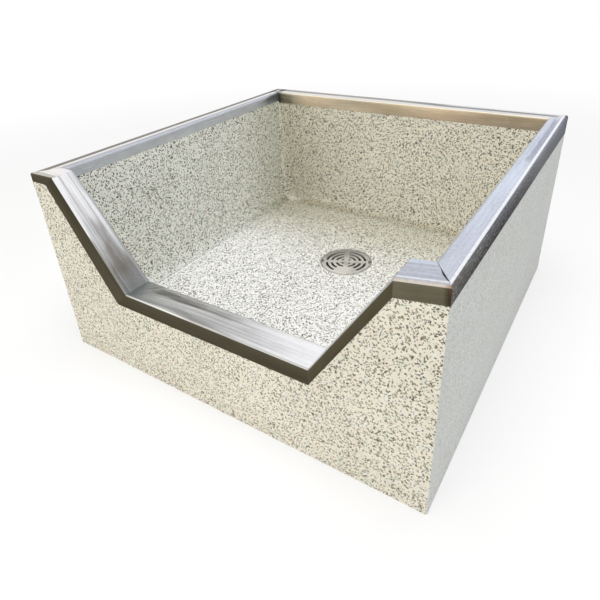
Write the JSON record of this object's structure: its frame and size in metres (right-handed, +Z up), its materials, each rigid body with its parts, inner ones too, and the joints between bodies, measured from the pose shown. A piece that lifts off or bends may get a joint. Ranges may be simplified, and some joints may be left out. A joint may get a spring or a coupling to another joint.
{
  "type": "mop service sink",
  "caption": "Square floor-standing terrazzo mop sink with a drop front, folded stainless curb caps and a lift-out drain strainer.",
  "frame": {"origin": "centre of the underside, on the floor", "axes": "+Z up, the drop front faces -Y, +X is the right-hand side seen from the front"},
  "size_m": [0.6096, 0.6096, 0.3048],
  "materials": {
    "terrazzo": "ground and sealed, marble chips in white cement",
    "polished_stainless": "brushed along the curb, bright on top",
    "satin_stainless": "plain mill finish",
    "strainer_stainless": "satin",
    "seal_rubber": "matt black"
  },
  "bodies": {
    "sink": {"terrazzo_basin": "terrazzo", "cap_left_wall": "polished_stainless", "anchor_left_wall_1": "satin_stainless", "anchor_left_wall_2": "satin_stainless", "anchor_left_wall_3": "satin_stainless", "cap_back_wall": "polished_stainless", "anchor_back_wall_1": "satin_stainless", "anchor_back_wall_2": "satin_stainless", "anchor_back_wall_3": "satin_stainless", "cap_right_wall": "polished_stainless", "anchor_right_wall_1": "satin_stainless", "anchor_right_wall_2": "satin_stainless", "anchor_right_wall_3": "satin_stainless", "cap_left_shoulder": "polished_stainless", "anchor_left_shoulder_1": "satin_stainless", "cap_left_slope": "polished_stainless", "anchor_left_slope_1": "satin_stainless", "cap_threshold": "polished_stainless", "anchor_threshold_1": "satin_stainless", "anchor_threshold_2": "satin_stainless", "cap_right_slope": "polished_stainless", "anchor_right_slope_1": "satin_stainless", "cap_right_shoulder": "polished_stainless", "anchor_right_shoulder_1": "satin_stainless", "drain_body": "satin_stainless", "pipe_seal": "seal_rubber", "drain_anchor_lug_1": "satin_stainless", "drain_anchor_lug_2": "satin_stainless", "drain_anchor_lug_3": "satin_stainless"},
    "strainer": {"drain_strainer": "strainer_stainless"}
  },
  "joints": [
    {"name": "strainer_lift", "type": "slide", "parent": "sink", "child": "strainer", "axis": [0, 0, 1], "range_m": [0, 0.3]}
  ]
}
